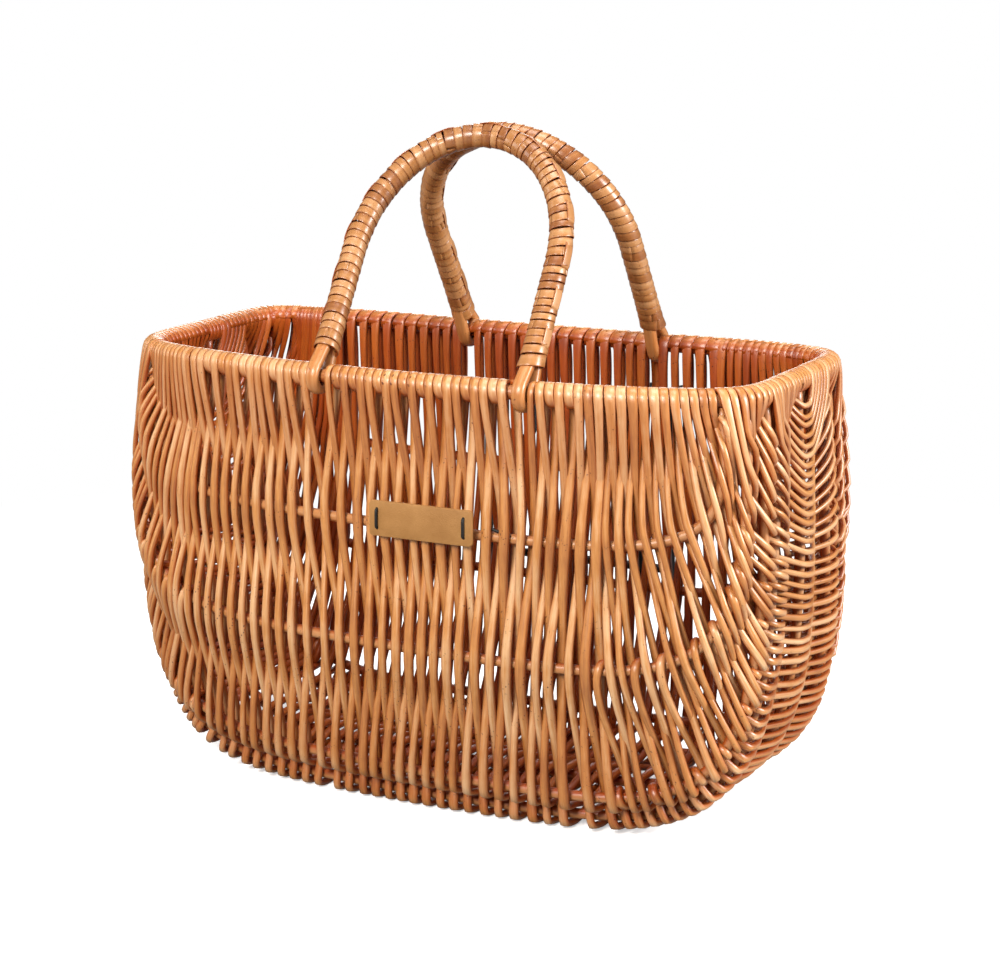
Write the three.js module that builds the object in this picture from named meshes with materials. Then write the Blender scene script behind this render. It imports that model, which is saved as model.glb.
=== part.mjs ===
// A rib-framed willow shopping basket with two swing handles and a wire hanger on its back.
// Millimetres, +Z up, the front towards -Y. The rim hoop carries nine long U-shaped ribs, willow
// rods are woven across them from rim to rim, and each handle hooks round a long side of the rim.
import * as THREE from "three";

// Rim hoop: a rounded rectangle in plan, bowed at the front and drawn in at the back.
const rimLength = 420;
const rimWidth = 176;
const rimHeight = 277;
const rimSquareness = 7.4;
const frontBow = 29;
const backBow = -6;
const hoopRadius = 4.5;

// Where the hoop's points lie, as shares of the way from the middle of an end to a corner and from
// there to the middle of a side. They stand closer together at the corners.
const rimEndShares = [0, 0.45, 0.7, 0.82, 0.91];
const rimSideShares = [0, 0.06, 0.12, 0.2, 0.32, 0.5, 0.72];

// Ribs, from the top of the front wall to the middle of the base. "out" is how far the rib stands
// from the middle at the basket's ends, "bow" is how much further at mid length, "low" is its lowest
// height, "seat" is how far its end stands from the middle of the basket's end, along the rim, and
// "droop" lowers it towards the right. "out" and "seat" are shares of half the rim's width, "bow" is
// a share of the front or back bow, and the heights are shares of the rim's height.
const ribRadius = 4;
const ribSquareness = 6;
const ribSwell = 5;
const ribLegShares = [0.3, 0.55, 0.75, 0.9];
const ribBaseShares = [0, 0.1, 0.22, 0.42, 0.7];
const frontRibs = [
  { name: "rib_front_upper", out: 1.04, bow: 0.724, low: 0.6805, seat: 0.989, droop: 0.009 },
  { name: "rib_front_middle", out: 1.051, bow: 0.69, low: 0.4043, seat: 0.7955, droop: 0.0108 },
  { name: "rib_front_lower", out: 0.852, bow: 0.621, low: 0.0975, seat: 0.568, droop: 0.0144 },
  { name: "rib_base_front", out: 0.7045, bow: 0.69, low: 0.0343, seat: 0.375, droop: 0 },
];
const centreRib = { name: "rib_base_centre", out: 0, bow: 0.414, low: 0.0343, seat: 0, droop: 0 };
const backRibs = [
  { name: "rib_base_back", out: 0.7045, bow: 0.667, low: 0.0343, seat: 0.375, droop: 0 },
  { name: "rib_back_lower", out: 0.8636, bow: 0.833, low: 0.0975, seat: 0.568, droop: 0 },
  { name: "rib_back_middle", out: 1.051, bow: 1, low: 0.4043, seat: 0.727, droop: 0 },
  { name: "rib_back_upper", out: 1.04, bow: 1, low: 0.6805, seat: 1.023, droop: 0 },
];

// Woven rods, split willow of nearly square section, four rows of the weave to a weaver. The rows
// lie straight across the middle of the basket, in three groups beside and between the handles, and
// fan out round both ends, where each row meets only the ribs seated nearer to the middle of the
// end. There a row passes the two ribs of a lower edge on the same side, and it keeps to the rim's
// side of a rib that is seated within "turnRoom" of it.
const rodHalf = 2.15;
const rodsPerWeaver = 4;
const endWeavers = 3;
const rightWeavers = 2;
const middleWeavers = 3;
const leftWeavers = 3;
const straightReach = 165;
const firstRowSeat = 10;
const turnRoom = 20;
const baseFlat = 7;
const touchGap = 0.32;
const widestBend = THREE.MathUtils.degToRad(50);
const steepest = 0.9;
const slantRoom = 0.3;
const nearRoom = 0.2;
const hoopBends = 4;
const heartReach = 0.238 * rimLength;
const heartHeight = 0.5415 * rimHeight;
const rodTail = THREE.MathUtils.degToRad(30);

// Handles: a bare rod hooked round the rim at both feet, bound with flat willow above the hooks.
const handleCentre = 14;
const handleHalfSpan = 69;
const handleHeight = 167;
const handleStraight = 84;
const handleRodRadius = 4;
const hookGap = 0.8;
const hookClearance = 1;
const hookTail = 16;
const crotchHeight = 30;
const bindingRadius = 7.2;
const bindingLap = 0.7;
const bindingStrip = 12;
const handlesGap = 0.3;
const hookTurns = 6;
const legSteps = 2;
const crownSteps = 7;
const bindingLegSteps = 4;
const bindingCrownSteps = 21;
const stripStep = 1;

// Leather label stitched to the front wall with two loops of black thread.
const labelWidth = 70;
const labelHeight = 22;
const labelThickness = 2.5;
const labelCentreX = 19;
const labelLift = 6;
const labelCorner = 2.5;
const stitchInset = 5.5;
const stitchSpan = 12;
const threadRadius = 0.8;
const threadHoleRadius = 1.3;
const threadReach = 4;

// Hanger on the back: two hairpin hooks of steel wire joined by a crossbar.
const wireRadius = 2.9;
const hookWidth = 22;
const hookCentres = [-38, 76];
const hookTop = 0.888 * rimHeight;
const hookMouth = 24;
const hookDrop = 24;
const wireTurns = 5;
const wireFoot = 8;
const crossbarHeight = 0.437 * rimHeight;
const crossbarOverhang = 8;

// Sides of the round sections: a thin thread and a rib need fewer than a hoop, a handle or a wire.
const fewSides = 6;
const manySides = 8;

const willow = { color: 0xd9a066, roughness: 0.55, metalness: 0 };
const wornWillow = { color: 0xc98a50, roughness: 0.6, metalness: 0 };
const boundWillow = { color: 0xe0b27c, roughness: 0.5, metalness: 0 };
const leather = { color: 0xc9a05e, roughness: 0.75, metalness: 0 };
const thread = { color: 0x17130f, roughness: 0.85, metalness: 0 };
const blackSteel = { color: 0x121212, roughness: 0.4, metalness: 0.2 };

const up = new THREE.Vector3(0, 0, 1);
const vec = (x, y, z) => new THREE.Vector3(x, y, z);
const basket = new THREE.Group();

function addMesh(name, geometry, look) {
  const mesh = new THREE.Mesh(geometry, new THREE.MeshStandardMaterial(look));
  mesh.name = name;
  basket.add(mesh);
  return mesh;
}

// A line through points, measured along its length.
class Track {
  constructor(points) {
    this.points = points;
    this.lengths = [0];
    for (let i = 1; i < points.length; i++) {
      this.lengths.push(this.lengths[i - 1] + points[i].distanceTo(points[i - 1]));
    }
    this.length = this.lengths.at(-1);
  }

  at(distance) {
    const last = this.points.length - 1;
    let i = this.lengths.findIndex((length) => length > distance) - 1;
    if (i < 0) i = distance <= 0 ? 0 : last - 1;
    const start = this.points[i];
    const step = this.points[i + 1].clone().sub(start);
    const share = (distance - this.lengths[i]) / (this.lengths[i + 1] - this.lengths[i]);
    return { point: start.clone().addScaledVector(step, share), along: step.normalize() };
  }

  // The distance at which the track, which runs from +X to -X, passes a given X.
  whereX(x) {
    const i = this.points.findIndex((point, k) => k > 0 && point.x <= x);
    const a = this.points[i - 1];
    const b = this.points[i];
    return this.lengths[i - 1] + ((a.x - x) / (a.x - b.x)) * (this.lengths[i] - this.lengths[i - 1]);
  }
}

// A regular outline of the given number of sides, or the rods' own square one.
function roundSection(radius, sides) {
  return Array.from({ length: sides }, (_, i) => {
    const angle = ((i + 0.5) * 2 * Math.PI) / sides;
    return [radius * Math.cos(angle), radius * Math.sin(angle)];
  });
}
const rodSection = [
  [rodHalf, -rodHalf],
  [rodHalf, rodHalf],
  [-rodHalf, rodHalf],
  [-rodHalf, -rodHalf],
];

// Rings of points round a path of { point, normal } stations. Each section lies on the plane that
// halves the bend, widened across it so that the rod keeps its thickness, and the section's first
// axis stays as near as it can to the station's normal.
function ringsAlong(stations, sectionOf, closed = false) {
  const count = stations.length;
  let lastNormal = null;
  return stations.map((station, i) => {
    const isFirst = !closed && i === 0;
    const isLast = !closed && i === count - 1;
    const before = stations[(i + count - 1) % count].point;
    const after = stations[(i + 1) % count].point;
    let arriving = station.point.clone().sub(before).normalize();
    let leaving = after.clone().sub(station.point).normalize();
    if (isFirst) arriving = leaving;
    if (isLast) leaving = arriving;
    const along = arriving.clone().add(leaving).normalize();
    const bend = leaving.clone().sub(arriving);
    if (bend.length() > 0) bend.normalize();
    const widening = 1 / along.dot(arriving) - 1;
    const normal = station.normal.clone().addScaledVector(along, -along.dot(station.normal)).normalize();
    if (lastNormal && normal.dot(lastNormal) < 0) normal.negate();
    lastNormal = normal;
    const side = along.clone().cross(normal);
    return sectionOf(i).map(([a, b]) => {
      const offset = normal.clone().multiplyScalar(a).addScaledVector(side, b);
      return station.point.clone().add(offset).addScaledVector(bend, widening * offset.dot(bend));
    });
  });
}

// A closed solid from rings: a skin between them, and a flat cap on each open end.
function solidOfRings(rings, closed = false) {
  const sides = rings[0].length;
  const positions = rings.flat().flatMap((p) => [p.x, p.y, p.z]);
  const index = [];
  const spans = closed ? rings.length : rings.length - 1;
  for (let i = 0; i < spans; i++) {
    const a = i * sides;
    const b = ((i + 1) % rings.length) * sides;
    for (let j = 0; j < sides; j++) {
      const k = (j + 1) % sides;
      index.push(a + j, a + k, b + k, a + j, b + k, b + j);
    }
  }
  if (!closed) {
    const end = (rings.length - 1) * sides;
    for (let j = 1; j < sides - 1; j++) {
      index.push(0, j + 1, j);
      index.push(end, end + j, end + j + 1);
    }
  }
  const geometry = new THREE.BufferGeometry();
  geometry.setAttribute("position", new THREE.Float32BufferAttribute(positions, 3));
  geometry.setIndex(index);
  geometry.computeVertexNormals();
  return geometry;
}

function solidAlong(stations, section, closed = false) {
  return solidOfRings(ringsAlong(stations, () => section, closed), closed);
}

// The rim. Its track starts in the middle of the right end and runs round by the front.
function rimPoint(angle) {
  const c = Math.cos(angle);
  const s = Math.sin(angle);
  const reach =
    Math.abs((2 * c) / rimLength) ** rimSquareness + Math.abs((2 * s) / rimWidth) ** rimSquareness;
  const radius = reach ** (-1 / rimSquareness);
  const x = radius * c;
  const bow = (s < 0 ? -frontBow : backBow) * (1 - ((2 * x) / rimLength) ** 2);
  return vec(x, radius * s + bow, rimHeight);
}

function rimTrack() {
  const cornerAngle = Math.atan2(rimWidth, rimLength);
  const quarter = [
    ...rimEndShares.map((share) => cornerAngle * share),
    ...rimSideShares.map((share) => cornerAngle + (Math.PI / 2 - cornerAngle) * share),
  ];
  const turn = [
    ...quarter,
    Math.PI / 2,
    ...quarter.slice(1).reverse().map((angle) => Math.PI - angle),
  ];
  const angles = [...turn, ...turn.map((angle) => angle + Math.PI), 2 * Math.PI];
  return new Track(angles.map((angle) => rimPoint(-angle)));
}
const rim = rimTrack();
const ribTop = rimHeight - hoopRadius - touchGap;
const rimFront = new Track(rim.points.slice(0, (rim.points.length + 1) / 2));
const rimBack = new Track(rim.points.slice((rim.points.length - 1) / 2).reverse());

addMesh(
  "rim_hoop",
  solidAlong(
    rim.points.slice(0, -1).map((point) => ({ point, normal: up })),
    roundSection(hoopRadius, manySides),
    true,
  ),
  willow,
);

// Ribs. A rib's side view is a square-cornered U hung from the rim, which swells a little between
// the rim and the base, and its ends stand under the rim at the rib's seat.
const seatPlace = (rib) => (rib.seat * rimWidth) / 2;

function ribPoint(rib, face, angle) {
  const seat = (face > 0 ? rimBack : rimFront).at(seatPlace(rib)).point;
  const depth = rimHeight * (1 - rib.low);
  const c = Math.cos(angle);
  const s = Math.sin(angle);
  const reach = Math.abs(c / seat.x) ** ribSquareness + Math.abs(s / depth) ** ribSquareness;
  const radius = reach ** (-1 / ribSquareness);
  const rise = 1 - (radius * s) / depth;
  const x = radius * c * (1 + (ribSwell * 4 * rise * (1 - rise)) / seat.x);
  const bow = rib.bow * (face > 0 ? backBow : frontBow);
  const middle = face * ((rib.out * rimWidth) / 2 + bow * (1 - ((2 * x) / rimLength) ** 2));
  const y = middle * (1 - rise) + seat.y * rise;
  const droop = (rib.droop * rimHeight * (1 - rise) * 2 * x) / rimLength;
  const z = rimHeight - radius * s - droop;
  return vec(x, y, z);
}

function ribTrack(rib, face) {
  const corner = Math.atan2(rimHeight * (1 - rib.low), rimLength / 2);
  const top = (hoopRadius + touchGap) / (rimLength / 2);
  const half = [
    top,
    ...ribLegShares.map((share) => corner * share),
    ...ribBaseShares.map((share) => corner + (Math.PI / 2 - corner) * share),
  ];
  const angles = [...half, Math.PI / 2, ...half.slice().reverse().map((angle) => Math.PI - angle)];
  return new Track(angles.map((angle) => ribPoint(rib, face, angle)));
}

const ribs = [
  ...frontRibs.map((rib) => ({ ...rib, track: ribTrack(rib, -1) })),
  { ...centreRib, track: ribTrack(centreRib, -1) },
  ...backRibs.map((rib) => ({ ...rib, track: ribTrack(rib, 1) })),
];
const centreIndex = frontRibs.length;
for (const rib of ribs) {
  const stations = rib.track.points.map((point) => ({ point, normal: vec(0, 1, 0) }));
  const rings = ringsAlong(stations, () => roundSection(ribRadius, fewSides));
  for (const point of [...rings.at(0), ...rings.at(-1)]) point.z = ribTop;
  addMesh(rib.name, solidOfRings(rings), wornWillow);
}

// Rows of the weave. A row holds its place on the front and the back of the rim and, for each rib
// that it meets, the distance along that rib.
const slots = [handleCentre + handleHalfSpan, handleCentre - handleHalfSpan];
const slotReach = handleRodRadius + rodHalf + hookClearance;

function middleRow(x) {
  return {
    front: rimFront.whereX(x),
    back: rimBack.whereX(x),
    crossings: ribs.map((rib) => rib.track.whereX(x)),
    near: ribs.map(() => false),
    order: ribs.map((_, k) => k),
  };
}

function endRow(seat, side) {
  const lastSeat = rimFront.whereX(straightReach);
  const crossings = ribs.map((rib) => {
    if (seatPlace(rib) >= seat) return null;
    const share = (seat - seatPlace(rib)) / (lastSeat - seatPlace(rib));
    const reach =
      side > 0 ? rib.track.whereX(straightReach) : rib.track.length - rib.track.whereX(-straightReach);
    return side > 0 ? reach * share : rib.track.length - reach * share;
  });
  const near = ribs.map((rib) => seat - seatPlace(rib) < turnRoom);
  const place = (length) => (side > 0 ? seat : length - seat);
  const order = ribs.map((_, k) => k - (k >= centreIndex - 1) - (k > centreIndex + 1));
  return { front: place(rimFront.length), back: place(rimBack.length), crossings, near, order };
}

function endRowsOf(side) {
  const count = endWeavers * rodsPerWeaver;
  const step = (rimFront.whereX(straightReach) - firstRowSeat) / count;
  const rows = Array.from({ length: count }, (_, i) => endRow(firstRowSeat + step * i, side));
  return side > 0 ? rows : rows.reverse();
}

function rowsBetween(start, end, weavers) {
  const count = weavers * rodsPerWeaver;
  return Array.from({ length: count }, (_, i) => middleRow(start + ((end - start) * i) / (count - 1)));
}

const rows = [
  ...endRowsOf(1),
  ...rowsBetween(straightReach, slots[0] + slotReach, rightWeavers),
  ...rowsBetween(slots[0] - slotReach, slots[1] + slotReach, middleWeavers),
  ...rowsBetween(slots[1] - slotReach, -straightReach, leftWeavers),
  ...endRowsOf(-1),
];

// A rod is laid like a belt over posts: the hoop and every rib that its row meets. "side" is 1
// where it passes outside the post and -1 where it passes inside.
const rodToRib = ribRadius + touchGap + rodHalf;
const rodToHoop = hoopRadius + touchGap + rodHalf;

// The nearest point of a line through the basket's middle, seen from where "outside" is measured.
const heartBeside = (point) => vec(THREE.MathUtils.clamp(point.x, -heartReach, heartReach), 0, heartHeight);

function hoopPost(place, isBack, arriving, leaving) {
  const { point, along } = (isBack ? rimBack : rimFront).at(place);
  return { centre: point, tangent: along, reach: rodToHoop, arriving, leaving, isHoop: true, place, isBack };
}

function ribPost(rib, distance, side, isBase, isNear) {
  const { point, along } = rib.track.at(distance);
  const reach = rodToRib + (isNear ? nearRoom : 0);
  return { centre: point, tangent: along, reach, arriving: side, leaving: side, isBase };
}

function postsOfRow(row, number) {
  const posts = row.crossings.flatMap((distance, k) => {
    if (distance === null) return [];
    let side = (number + row.order[k]) % 2 === 0 ? 1 : -1;
    if (row.near[k]) side = (number % 2 === 0) === k < centreIndex ? -1 : 1;
    return [ribPost(ribs[k], distance, side, Math.abs(k - centreIndex) <= 1, row.near[k])];
  });
  return number % 2 === 0 ? posts : posts.reverse();
}

// The outward normal of the wall at a post, square to the post and to the row.
function outward(post, direction) {
  const normal = post.tangent.clone().cross(direction).normalize();
  if (normal.dot(post.centre.clone().sub(heartBeside(post.centre))) < 0) normal.negate();
  return normal;
}

// Where the stretch between two posts touches one of them, as seen from that post's centre.
function touchOf(post, side, from, fromSide, to, toSide) {
  const line = to.centre.clone().sub(from.centre);
  const normal = outward(post, line);
  const across = line.clone().addScaledVector(post.tangent, -line.dot(post.tangent));
  const rise = (toSide * to.reach - fromSide * from.reach) / across.length();
  const lift = Math.asin(THREE.MathUtils.clamp(rise, -steepest, steepest));
  return normal
    .multiplyScalar(side * Math.cos(lift))
    .addScaledVector(across.normalize(), -side * Math.sin(lift));
}

function bendOverRib(post, before, after) {
  const side = post.leaving;
  const first = touchOf(post, side, before, before.leaving, post, side);
  const last = touchOf(post, side, post, side, after, after.arriving);
  const middle = first.clone().add(last).normalize();
  const across = after.centre.clone().sub(before.centre);
  if (post.isBase && side > 0 && Math.abs(post.centre.x) <= straightReach) {
    const down = outward(post, vec(0, 1, 0));
    const step = vec(0, Math.sign(across.y) * baseFlat, 0);
    const under = post.centre.clone().addScaledVector(down, post.reach);
    return [
      { point: under.clone().sub(step), normal: down },
      { point: under.clone().add(step), normal: down },
    ];
  }
  const arc = first.angleTo(last) * Math.sign(last.clone().sub(first).dot(across));
  if (arc <= 0) return [{ point: post.centre.clone().addScaledVector(middle, post.reach), normal: middle }];
  const count = Math.ceil(arc / widestBend);
  const halfStep = arc / (2 * count);
  const slant = Math.abs(post.tangent.dot(across.normalize()));
  const slantGap = slantRoom * slant + (rodHalf * slant * Math.tan(halfStep)) / Math.sqrt(1 - slant ** 2);
  return Array.from({ length: count }, (_, i) => {
    const normal = first.clone().lerp(last, (i + 0.5) / count).normalize();
    const reach = post.reach / Math.cos(halfStep) + slantGap;
    return { point: post.centre.clone().addScaledVector(normal, reach), normal };
  });
}

// The rod's way up the outside of the hoop, over it and down inside, from one row to the next.
function bendOverHoop(post, next, before, after) {
  const horizontal = (place) => {
    const { along } = (post.isBack ? rimBack : rimFront).at(place);
    return post.isBack ? vec(along.y, -along.x, 0) : vec(-along.y, along.x, 0);
  };
  const angleOf = (touch, place) => Math.atan2(touch.z, touch.dot(horizontal(place)));
  const start = before
    ? angleOf(touchOf(post, 1, before, before.leaving, post, 1), post.place)
    : -rodTail;
  let end = after
    ? angleOf(touchOf(next, -1, next, -1, after, after.arriving), next.place)
    : Math.PI + rodTail;
  if (end < 0) end += 2 * Math.PI;
  const stationAt = (share, reach) => {
    const angle = start + (end - start) * share;
    const place = post.place + (next.place - post.place) * share;
    const normal = horizontal(place)
      .multiplyScalar(Math.cos(angle))
      .addScaledVector(up, Math.sin(angle));
    const centre = (post.isBack ? rimBack : rimFront).at(place).point;
    return { point: centre.clone().addScaledVector(normal, reach), normal };
  };
  const reach = post.reach / Math.cos((end - start) / (2 * hoopBends));
  const bends = Array.from({ length: hoopBends }, (_, i) => stationAt((i + 0.5) / hoopBends, reach));
  if (!before) bends.unshift(stationAt(0, post.reach));
  if (!after) bends.push(stationAt(1, post.reach));
  return bends;
}

function weaverStations(first) {
  const stations = [];
  const rowPosts = [];
  for (let i = first; i < first + rodsPerWeaver; i++) rowPosts.push(postsOfRow(rows[i], i));
  const hoopAt = (i, isBack) => hoopPost(isBack ? rows[i].back : rows[i].front, isBack, 1, -1);
  const start = hoopAt(first, false);
  stations.push(...bendOverHoop(start, start, null, rowPosts[0][0]));
  let previousHoop = start;
  rowPosts.forEach((posts, j) => {
    const isBack = j % 2 === 0;
    const row = first + j;
    const hoop = hoopAt(row, isBack);
    posts.forEach((post, k) => {
      stations.push(...bendOverRib(post, posts[k - 1] ?? previousHoop, posts[k + 1] ?? hoop));
    });
    const isEnd = j === rowPosts.length - 1;
    const next = isEnd ? hoop : hoopAt(row + 1, isBack);
    stations.push(...bendOverHoop(hoop, next, posts.at(-1), isEnd ? null : rowPosts[j + 1][0]));
    previousHoop = next;
  });
  return stations;
}

for (let i = 0; i < rows.length; i += rodsPerWeaver) {
  const number = String(i / rodsPerWeaver + 1).padStart(2, "0");
  addMesh(`weaver_${number}`, solidAlong(weaverStations(i), rodSection), willow);
}

// Handles. Each lies in a plane through the hoop's middle at its two feet, and the pair lean in
// until their arches rest on each other.
const feet = [-1, 1].map((face) => {
  const track = face < 0 ? rimFront : rimBack;
  const places = [handleCentre - handleHalfSpan, handleCentre + handleHalfSpan];
  return places.map((x) => track.at(track.whereX(x)).point);
});
const feetDistance = (feet[1][0].y + feet[1][1].y - feet[0][0].y - feet[0][1].y) / 2;
const restingReach = feetDistance / 2 - bindingRadius - bindingLap - handlesGap;
const leanAngle = Math.asin(restingReach / handleHeight);

function handleFrame(face) {
  const [left, right] = feet[face < 0 ? 0 : 1];
  const across = right.clone().sub(left);
  const span = across.length() / 2;
  across.normalize();
  const inward = vec(0, -face, 0);
  const rise = up.clone().multiplyScalar(Math.cos(leanAngle)).addScaledVector(inward, Math.sin(leanAngle));
  rise.addScaledVector(across, -rise.dot(across)).normalize();
  const facing = across.clone().cross(rise).multiplyScalar(-face).normalize();
  const middle = left.clone().add(right).multiplyScalar(0.5);
  const place = (u, w, n) =>
    middle.clone().addScaledVector(across, u).addScaledVector(rise, w).addScaledVector(facing, n);
  return { span, across, rise, facing, place };
}

// The right half of the arch, from a height on the leg up to the apex.
function archHalf(frame, start, stepsUp, stepsOver) {
  const leg = Array.from({ length: stepsUp }, (_, i) => [
    frame.span,
    start + ((handleStraight - start) * i) / stepsUp,
  ]);
  const crown = Array.from({ length: stepsOver + 1 }, (_, i) => {
    const angle = (Math.PI / 2) * (i / stepsOver);
    return [
      frame.span * Math.cos(angle),
      handleStraight + (handleHeight - handleStraight) * Math.sin(angle),
    ];
  });
  return [...leg, ...crown];
}

function mirrored(stations) {
  return [...stations, ...stations.slice(0, -1).reverse().map(([u, ...rest]) => [-u, ...rest])];
}

function handleRod(frame) {
  const eye = hoopRadius + hookGap + handleRodRadius;
  const swing = Math.acos(eye / crotchHeight);
  const firstTurn = Math.PI / 2 - swing;
  const turns = Array.from({ length: hookTurns + 1 }, (_, i) => {
    const angle = firstTurn - (firstTurn + Math.PI) * (i / hookTurns);
    return [frame.span, eye * Math.sin(angle), eye * Math.cos(angle)];
  });
  const hook = [...turns, [frame.span, hookTail, -eye]].reverse();
  const arch = archHalf(frame, crotchHeight, legSteps, crownSteps).map(([u, w]) => [u, w, 0]);
  const stations = mirrored([...hook, ...arch]).map(([u, w, n]) => {
    const radial = w < crotchHeight ? frame.facing.clone().multiplyScalar(n) : frame.facing.clone();
    if (w < eye) radial.addScaledVector(frame.rise, Math.min(w, 0));
    return { point: frame.place(u, w, n), normal: radial.normalize() };
  });
  return solidAlong(stations, roundSection(handleRodRadius, manySides));
}

// The binding, a sleeve over the rod whose outside steps down at the edge of every strip.
function handleBinding(frame) {
  const path = mirrored(archHalf(frame, crotchHeight + touchGap, bindingLegSteps, bindingCrownSteps));
  const track = new Track(path.map(([u, w]) => frame.place(u, w, 0)));
  const strips = Math.round(track.length / bindingStrip);
  const strip = track.length / strips;
  const outer = [];
  for (let i = 0; i < strips; i++) {
    outer.push({ distance: i * strip, radius: bindingRadius + bindingLap });
    outer.push({ distance: (i + 1) * strip - stripStep, radius: bindingRadius });
  }
  outer.at(-1).distance = track.length;
  const ringsAt = (points, radiusOf) =>
    ringsAlong(
      points.map((point) => ({ point, normal: frame.facing })),
      (i) => roundSection(radiusOf(i), manySides),
    );
  const skin = ringsAt(outer.map(({ distance }) => track.at(distance).point), (i) => outer[i].radius);
  const rodPath = mirrored(archHalf(frame, crotchHeight + touchGap, legSteps, crownSteps));
  const borePoints = rodPath.map(([u, w]) => frame.place(u, w, 0));
  const bore = ringsAt(borePoints, () => handleRodRadius + touchGap);
  return solidOfRings([...skin, ...bore.reverse()], true);
}

for (const [name, face] of [["front", -1], ["back", 1]]) {
  const frame = handleFrame(face);
  addMesh(`${name}_handle_rod`, handleRod(frame), wornWillow);
  addMesh(`${name}_handle_binding`, handleBinding(frame), boundWillow);
}

// Label: a flat piece of leather lying on the rods that pass outside the upper front rib.
const wallReach = ribRadius + touchGap + 2 * rodHalf;
const pointAtX = (rib, x) => rib.track.at(rib.track.whereX(x)).point;
const labelRib = pointAtX(ribs[0], labelCentreX);
const labelBack = labelRib.y - wallReach - touchGap;
const labelHeightAt = labelRib.z + labelLift;
const stitchAt = labelWidth / 2 - stitchInset;

function labelGeometry() {
  const x = labelWidth / 2;
  const y = labelHeight / 2;
  const r = labelCorner;
  const outline = new THREE.Shape();
  outline.moveTo(-x + r, -y);
  outline.absarc(x - r, -y + r, r, -Math.PI / 2, 0);
  outline.absarc(x - r, y - r, r, 0, Math.PI / 2);
  outline.absarc(-x + r, y - r, r, Math.PI / 2, Math.PI);
  outline.absarc(-x + r, -y + r, r, Math.PI, 1.5 * Math.PI);
  for (const side of [-1, 1]) {
    for (const level of [-1, 1]) {
      const hole = new THREE.Path();
      hole.absarc(side * stitchAt, (level * stitchSpan) / 2, threadHoleRadius, 0, 2 * Math.PI);
      outline.holes.push(hole);
    }
  }
  const geometry = new THREE.ExtrudeGeometry(outline, {
    depth: labelThickness,
    bevelEnabled: false,
    curveSegments: 4,
  });
  return geometry.rotateX(Math.PI / 2);
}
const label = addMesh("label", labelGeometry(), leather);
label.position.set(labelCentreX, labelBack, labelHeightAt);

// Stitches: each thread comes out of one hole, runs down the label and goes in at the other.
for (const [name, side] of [["left", -1], ["right", 1]]) {
  const x = labelCentreX + side * stitchAt;
  const face = labelBack - labelThickness - touchGap - threadRadius;
  const path = [
    [labelBack + threadReach, 1],
    [face + threadRadius, 1],
    [face, 1 - threadRadius / stitchSpan],
    [face, -1 + threadRadius / stitchSpan],
    [face + threadRadius, -1],
    [labelBack + threadReach, -1],
  ];
  const stations = path.map(([y, level]) => ({
    point: vec(x, y, labelHeightAt + (level * stitchSpan) / 2),
    normal: vec(1, 0, 0),
  }));
  addMesh(`label_stitch_${name}`, solidAlong(stations, roundSection(threadRadius, fewSides)), thread);
}

// Hanger: each hook is one wire that comes up the back wall, turns over away from it, crosses at the
// tip and goes back down, and the crossbar lies over the feet of both.
const wallAt = (x) => Math.max(...ribs.slice(-2).map((rib) => pointAtX(rib, x).y)) + wallReach;
const hookSides = hookCentres.flatMap((x) => [x - hookWidth / 2, x + hookWidth / 2]);
const wireDepth = Math.max(...hookSides.map(wallAt)) + touchGap + wireRadius;
const back = vec(0, 1, 0);

function hangerHook(centre) {
  const half = hookWidth / 2;
  const bendRadius = hookMouth / 2;
  const side = [
    { point: [half, 0, crossbarHeight - wireFoot], normal: back.clone().negate() },
    { point: [half, 0, hookTop - bendRadius - wireRadius], normal: back.clone().negate() },
  ];
  for (let i = 1; i <= wireTurns; i++) {
    const angle = Math.PI * (1 - i / wireTurns);
    side.push({
      point: [
        half,
        bendRadius * (1 + Math.cos(angle)),
        hookTop - bendRadius - wireRadius + bendRadius * Math.sin(angle),
      ],
      normal: vec(0, Math.cos(angle), Math.sin(angle)),
    });
  }
  const tip = [];
  for (let i = 0; i <= wireTurns; i++) {
    const angle = -Math.PI * (i / wireTurns);
    tip.push({
      point: [
        half * Math.cos(angle),
        hookMouth,
        hookTop - bendRadius - wireRadius - hookDrop + half * Math.sin(angle),
      ],
      normal: back,
    });
  }
  const mirror = ({ point: [x, y, z], normal }) => ({ point: [-x, y, z], normal });
  const otherSide = side.slice().reverse().map(mirror);
  return [...side, ...tip, ...otherSide].map(({ point: [x, y, z], normal }) => ({
    point: vec(centre + x, wireDepth + y, z),
    normal,
  }));
}

for (const [i, centre] of hookCentres.entries()) {
  addMesh(
    `hanger_hook_${i === 0 ? "left" : "right"}`,
    solidAlong(hangerHook(centre), roundSection(wireRadius, manySides)),
    blackSteel,
  );
}
const crossbarEnds = [hookSides[0] - crossbarOverhang, hookSides.at(-1) + crossbarOverhang];
addMesh(
  "hanger_crossbar",
  solidAlong(
    crossbarEnds.map((x) => ({
      point: vec(x, wireDepth + 2 * wireRadius + touchGap, crossbarHeight),
      normal: up,
    })),
    roundSection(wireRadius, manySides),
  ),
  blackSteel,
);

// The part's origin is the middle of its footprint, on the ground.
const bounds = new THREE.Box3().setFromObject(basket, true);
const origin = bounds.getCenter(new THREE.Vector3()).setZ(bounds.min.z);
for (const mesh of basket.children) mesh.position.sub(origin);

export default basket;
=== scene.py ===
import math

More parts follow.
